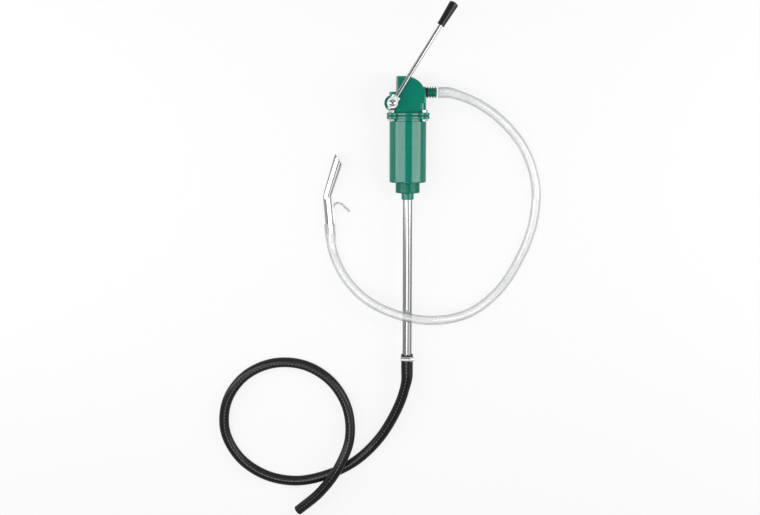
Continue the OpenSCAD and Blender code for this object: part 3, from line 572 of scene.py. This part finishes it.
def hose_mesh(name, line, outside, bore, sides=32, nick=0.0006):
    """A hollow hose along a line, its end edges broken, with its length and turn kept as a map."""
    run = [0.0]
    for p, q in zip(line, line[1:]):
        run.append(run[-1] + (q - p).length)
    last = len(line) - 1
    frames = []
    for i, p in enumerate(line):
        way = (line[min(i + 1, last)] - line[max(i - 1, 0)]).normalized()
        side = way.cross(Vector((0, 0, 1))).normalized()
        frames.append((p, side, side.cross(way)))

    def ring(i, radius, shift=0.0):
        p, side, up = frames[i]
        way = up.cross(side)
        return [tuple(p + way * shift + radius * (math.cos(math.tau * k / sides) * side
                                                  + math.sin(math.tau * k / sides) * up))
                for k in range(sides)]

    rows = [ring(0, outside[0] - nick), ring(0, outside[0], nick)]
    marks = [run[0], run[0] + nick]
    for i in range(1, last):
        rows.append(ring(i, outside[i]))
        marks.append(run[i])
    rows += [ring(last, outside[last], -nick), ring(last, outside[last] - nick)]
    marks += [run[last] - nick, run[last]]
    for i in range(last, -1, -1):
        rows.append(ring(i, bore[i]))
        marks.append(run[i])
    mesh = ring_mesh(name, rows)
    strip = mesh.uv_layers.new(name="along")
    for face in mesh.polygons:
        for corner in face.loop_indices:
            row, k = divmod(mesh.loops[corner].vertex_index, sides)
            strip.data[corner].uv = (marks[row], k / sides)
    return mesh, run[last]


hose_parts = 10


def swelling(line, wide, plain, taper):
    """Wide over the fitting at a hose's start, then down to its own size in a smooth taper."""
    sizes, run = [], 0.0
    for i, p in enumerate(line):
        if i > hose_parts:
            run += (p - line[i - 1]).length
        t = min(1.0, run / taper)
        sizes.append(wide + (plain - wide) * t * t * (3 - 2 * t))
    return sizes


in_radius, in_bore = 0.0125, 0.008
in_wide, in_fit, in_taper = 0.0147, 0.01102, 0.050
in_push, in_past, in_straight = 0.041, 0.002, 0.016
cross_gap = 0.0012
in_drop = -(floor_level + in_radius)
in_rise = 2 * in_radius + cross_gap
in_ends = [(0.0, tube_foot + in_push, 0.0), (0.0, tube_foot - in_past, 0.0),
           (0.0, tube_foot - in_straight, 0.0)]
in_route = [
    (-0.007, -0.054, 0.84, 0), (-0.034, -0.126, 0.40, 0), (-0.076, -0.194, 0.08, 0),
    (-0.134, -0.249, 0, 0), (-0.206, -0.284, 0, 0), (-0.284, -0.299, 0, 0),
    (-0.363, -0.283, 0, 0), (-0.427, -0.237, 0, 0), (-0.463, -0.166, 0, 0),
    (-0.456, -0.087, 0, 0), (-0.410, -0.023, 0, 0), (-0.338, 0.010, 0, 0),
    (-0.259, 0.005, 0, 0), (-0.192, -0.037, 0, 0), (-0.151, -0.106, 0, 0.12),
    (-0.145, -0.184, 0, 0.55), (-0.174, -0.257, 0, 1), (-0.221, -0.324, 0, 0.62),
    (-0.279, -0.379, 0, 0),
]
in_points = [Vector(p) for p in in_ends]
in_points += [Vector((x, tube_foot + y, floor_level + in_radius + drop * in_drop + rise * in_rise))
              for x, y, drop, rise in in_route]
in_line = rest(through(in_points, hose_parts), in_radius)
in_mesh, in_length = hose_mesh("suction_hose_black", in_line,
                               swelling(in_line, in_wide, in_radius, in_taper),
                               swelling(in_line, in_fit, in_bore, in_taper))
hose_rubber = finish_coat(
    "hose_rubber", (0.007, 0.007, 0.0075), tint=0.22, rough=(0.26, 0.38), grain=180.0,
    bump=0.00005, bump_grain=1200.0, IOR=1.40)
dash_half_pitch, dash_half = 0.0045, 0.0026
dash_turn, dash_half_width = 0.22, 0.009
dash_grey = (0.16, 0.165, 0.17, 1.0)
dashes = hose_rubber.node_tree
dash_map = dashes.nodes.new("ShaderNodeUVMap")
dash_map.uv_map = "along"
dash_split = dashes.nodes.new("ShaderNodeSeparateXYZ")
dash_long = reckon(dashes, "PINGPONG", dash_half_pitch)
dash_on = reckon(dashes, "LESS_THAN", dash_half)
dash_side = reckon(dashes, "COMPARE", dash_turn, dash_half_width)
dash_both = reckon(dashes, "MULTIPLY")
dash_paint = dashes.nodes.new("ShaderNodeMix")
dash_paint.data_type = "RGBA"
dash_paint.inputs[7].default_value = dash_grey
rubber_skin = dashes.nodes["Principled BSDF"]
rubber_shade = rubber_skin.inputs["Base Color"].links[0].from_socket
dashes.links.new(dash_map.outputs["UV"], dash_split.inputs[0])
dashes.links.new(dash_split.outputs["X"], dash_long.inputs[0])
dashes.links.new(dash_long.outputs[0], dash_on.inputs[0])
dashes.links.new(dash_split.outputs["Y"], dash_side.inputs[0])
dashes.links.new(dash_on.outputs[0], dash_both.inputs[0])
dashes.links.new(dash_side.outputs[0], dash_both.inputs[1])
dashes.links.new(dash_both.outputs[0], dash_paint.inputs[0])
dashes.links.new(rubber_shade, dash_paint.inputs[6])
dashes.links.new(dash_paint.outputs[2], rubber_skin.inputs["Base Color"])
black_hose = add_piece("suction_hose_black", in_mesh, hose_rubber, "pump_stand", "hose_rubber",
                       "suction_hose", sharp=40.0)

# Hose clamp: a plated band with slanted slots all round, tightened over the hose on the tube.
# A worm screw in a pressed housing runs in the slots and pulls the band tight.
clamp_plate = finish_coat(
    "clamp_plate", (0.88, 0.89, 0.90), tint=0.06, rough=(0.24, 0.38), grain=240.0,
    bump=0.00002, bump_grain=1300.0, Metallic=1.0)
band_low, band_width = tube_foot + 0.0264, 0.0103
band_inside, band_outside = 0.0148, 0.0158
slot_count, slot_share = 28, 0.56
slot_margin = 0.0021
slot_slant = math.radians(1.5)


def band_form():
    """The slotted band: a grid of cells round the hose, with the slots left open."""
    angles = []
    for i in range(slot_count):
        for share in (0.0, slot_share / 2, slot_share, (1 + slot_share) / 2):
            angles.append(math.tau * (i + share) / slot_count)
    levels = [0.0, slot_margin, band_width - slot_margin, band_width]
    slants = [-slot_slant, -slot_slant, slot_slant, slot_slant]
    count = len(angles)
    form = bmesh.new()
    skins = []
    for radius in (band_outside, band_inside):
        skins.append([[form.verts.new(on_pump_axis(radius, a + slant, band_low + level))
                       for a in angles] for level, slant in zip(levels, slants)])
    outer, inner = skins
    filled = {(j, k) for j in range(3) for k in range(count) if not (j == 1 and k % 4 < 2)}
    for j, k in sorted(filled):
        n = (k + 1) % count
        for skin in skins:
            form.faces.new((skin[j][k], skin[j][n], skin[j + 1][n], skin[j + 1][k]))
        for step, (a, b), (c, d) in (((-1, 0), (j, k), (j, n)), ((1, 0), (j + 1, k), (j + 1, n)),
                                     ((0, -1), (j, k), (j + 1, k)), ((0, 1), (j, n), (j + 1, n))):
            if (j + step[0], (k + step[1]) % count) not in filled:
                form.faces.new((outer[a][b], outer[c][d], inner[c][d], inner[a][b]))
    return form


add_piece("clamp_band_slotted", to_mesh("clamp_band_slotted", band_form()), clamp_plate,
          "pump_stand", "chrome", "clamp_band")
housing_low, housing_high = -0.008, 0.007
housing_edge, housing_gap = 0.0003, 0.00002
housing_middle = band_low + band_width / 2
screw_height, screw_bore = 0.0198, 0.0034
barrel_radius = 0.0040
foot_half, foot_top = 0.00565, 0.0169
housing_sides = 64
housing_turns = [math.tau * k / housing_sides for k in range(housing_sides)]
housing_stations = [
    (housing_low, housing_edge), (housing_low + housing_edge, 0.0), (-0.004, 0.0), (0.0, 0.0),
    (0.0035, 0.0), (housing_high - housing_edge, 0.0), (housing_high, housing_edge)]


def housing_reach(turn, x):
    """How far the housing's outside lies from the screw's middle, for a turn about it."""
    across, up = abs(math.cos(turn)), math.sin(turn)
    if up >= 0:
        return barrel_radius
    under = screw_height - math.sqrt((band_outside + housing_gap) ** 2 - x * x)
    if up * barrel_radius > -(screw_height - foot_top) * across:
        return barrel_radius / across
    return min(foot_half / max(across, 1e-6), under / -up)


def about_screw(x, reaches):
    """A ring of the housing about the screw's middle line."""
    return [(x, housing_middle + reach * math.cos(turn), screw_height + reach * math.sin(turn))
            for turn, reach in zip(housing_turns, reaches)]


housing_rows = [about_screw(x, [housing_reach(turn, x) - trim for turn in housing_turns])
                for x, trim in housing_stations]
housing_rows += [about_screw(x, [screw_bore] * housing_sides) for x in (housing_high, housing_low)]
add_piece("clamp_housing_pressed", ring_mesh("clamp_housing_pressed", housing_rows), clamp_plate,
          "pump_stand", "chrome", "clamp_housing", sharp=30.0)
dress("clamp_screw", clamp_plate, 0.0003)

# Spout: thin steel tube with one bend, plated bright, widened and cut on a slant at its mouth.
# Its foot is pushed into the clear hose, and the hook is joined to its side.
dress("spout_tube", chrome, 0.0002)
spout_height = 0.01285
spout_foot = Vector((-0.191, -0.130, floor_level + spout_height))
spout_lean = math.radians(4.8)
spout_side = Vector((math.cos(spout_lean), math.sin(spout_lean), 0.0))
spout_way = Vector((-math.sin(spout_lean), math.cos(spout_lean), 0.0))

# Hook: plated wire bent to a crook, to hang the spout on a rim.
# It is joined to the spout's side by four short welds, from both faces.
dress("spout_hook", chrome, 0.0)
weld_runs = (0.0300, 0.0375, 0.0450, 0.0525)
weld_length, weld_off, weld_rise = 0.0058, 0.0098, 0.0015
bead_tip, bead_girth, bead_ripple = 0.00012, 0.0012, 0.13
bead_steps, bead_sides = 12, 12
weld_form = bmesh.new()
for i, run in enumerate(weld_runs):
    for face in (1, -1):
        bead = []
        for j in range(bead_steps + 1):
            t = j / bead_steps
            ripple = 1 + bead_ripple * math.cos(math.tau * 3 * t + i)
            girth = bead_tip + bead_girth * math.sin(math.pi * t) ** 0.6 * ripple
            middle = (spout_foot + spout_way * (run + weld_length * (t - 0.5))
                      + spout_side * weld_off + Vector((0.0, 0.0, face * weld_rise)))
            bead.append([tuple(middle + spout_side * girth * math.cos(math.tau * k / bead_sides)
                               + Vector((0.0, 0.0, girth * math.sin(math.tau * k / bead_sides))))
                         for k in range(bead_sides)])
        lay_rings(weld_form, bead)
add_piece("hook_welds", to_mesh("hook_welds", weld_form), satin_plate, "pump_stand", "chrome",
          sharp=60.0)

# Discharge hose: clear PVC hose from the outlet's tail over the suction tube to the spout.
# It is pushed over both fittings and swells there.
out_radius, out_bore = 0.011, 0.008
out_wide, out_fit = 0.01285, 0.00952
tail_taper, spout_taper = 0.055, 0.022
out_drop = -(floor_level + out_radius)
out_rise = tube_radius + cross_gap - floor_level
tail_gap, tail_reach, tail_straight = 0.0042, 0.018, 0.009
tail_end = connector_end + tail_reach
out_start = [(connector_end + tail_gap, outlet_y, 0), (tail_end, outlet_y, 0),
             (tail_end + tail_straight, outlet_y, 0)]
out_route = [
    (0.118, 0.211, 0.97, 0), (0.156, 0.197, 0.86, 0), (0.232, 0.146, 0.50, 0),
    (0.290, 0.074, 0.17, 0), (0.318, -0.014, 0, 0), (0.312, -0.107, 0, 0),
    (0.280, -0.194, 0, 0), (0.230, -0.272, 0, 0.08), (0.154, -0.326, 0, 0.46),
    (0.062, -0.339, 0, 0.93), (-0.029, -0.323, 0, 1), (-0.112, -0.282, 0, 0.62),
    (-0.170, -0.212, 0, 0.16),
]
spout_runs = (-0.027, -0.003, 0.024)
out_points = [Vector(p) for p in out_start]
out_points += [Vector((x, y, floor_level + out_radius + drop * out_drop + rise * out_rise))
               for x, y, drop, rise in out_route]
out_points += [spout_foot + spout_way * run for run in spout_runs]
out_line = rest(through(out_points, hose_parts), out_radius)


def both_ends(wide, plain):
    """A size along the clear hose, which swells over the tail and over the spout."""
    ahead = swelling(out_line, wide, plain, tail_taper)
    behind = swelling(out_line[::-1], wide, plain, spout_taper)
    return [max(pair) for pair in zip(ahead, behind[::-1])]


def shade_clear_edges(coat, edge_shade_colour, start, end):
    """Paints shade into a clear wall's colour, darkening it towards a given tone where it is seen
    edgeways.
    """
    tree = coat.node_tree
    bsdf = tree.nodes["Principled BSDF"]
    turn = tree.nodes.new("ShaderNodeLayerWeight")
    turn.inputs["Blend"].default_value = 0.5
    edge = spread(tree, start, end)
    mix = tree.nodes.new("ShaderNodeMix")
    mix.data_type = "RGBA"
    mix.inputs[7].default_value = (*edge_shade_colour, 1.0)
    tree.links.new(turn.outputs["Facing"], edge.inputs["Value"])
    tree.links.new(edge.outputs["Result"], mix.inputs[0])
    tree.links.new(bsdf.inputs["Base Color"].links[0].from_socket, mix.inputs[6])
    tree.links.new(mix.outputs[2], bsdf.inputs["Base Color"])
    return turn


out_mesh, out_length = hose_mesh("discharge_hose_clear", out_line,
                                 both_ends(out_wide, out_radius), both_ends(out_fit, out_bore))
clear_pvc = finish_coat(
    "clear_pvc", (0.89, 0.895, 0.895), tint=0.02, rough=(0.05, 0.10), grain=40.0,
    IOR=1.06, Transmission_Weight=0.84, Coat_Roughness=0.05, Coat_IOR=1.5)
wall = clear_pvc.node_tree
# Painted shade: the clear hose's colour falls to dark grey where it is seen edgeways, and its coat
# gloss fades there, so its outlines read dark.
wall_turn = shade_clear_edges(clear_pvc, (0.22, 0.225, 0.23), 0.32, 0.85)
wall_gloss = spread(wall, 0.2, 0.7, low=1.0, high=0.05)
wall.links.new(wall_turn.outputs["Facing"], wall_gloss.inputs["Value"])
wall.links.new(wall_gloss.outputs["Result"], wall.nodes["Principled BSDF"].inputs["Coat Weight"])
clear_hose = add_piece("discharge_hose_clear", out_mesh, clear_pvc, "pump_stand", "clear_hose",
                       "discharge_hose", sharp=40.0)
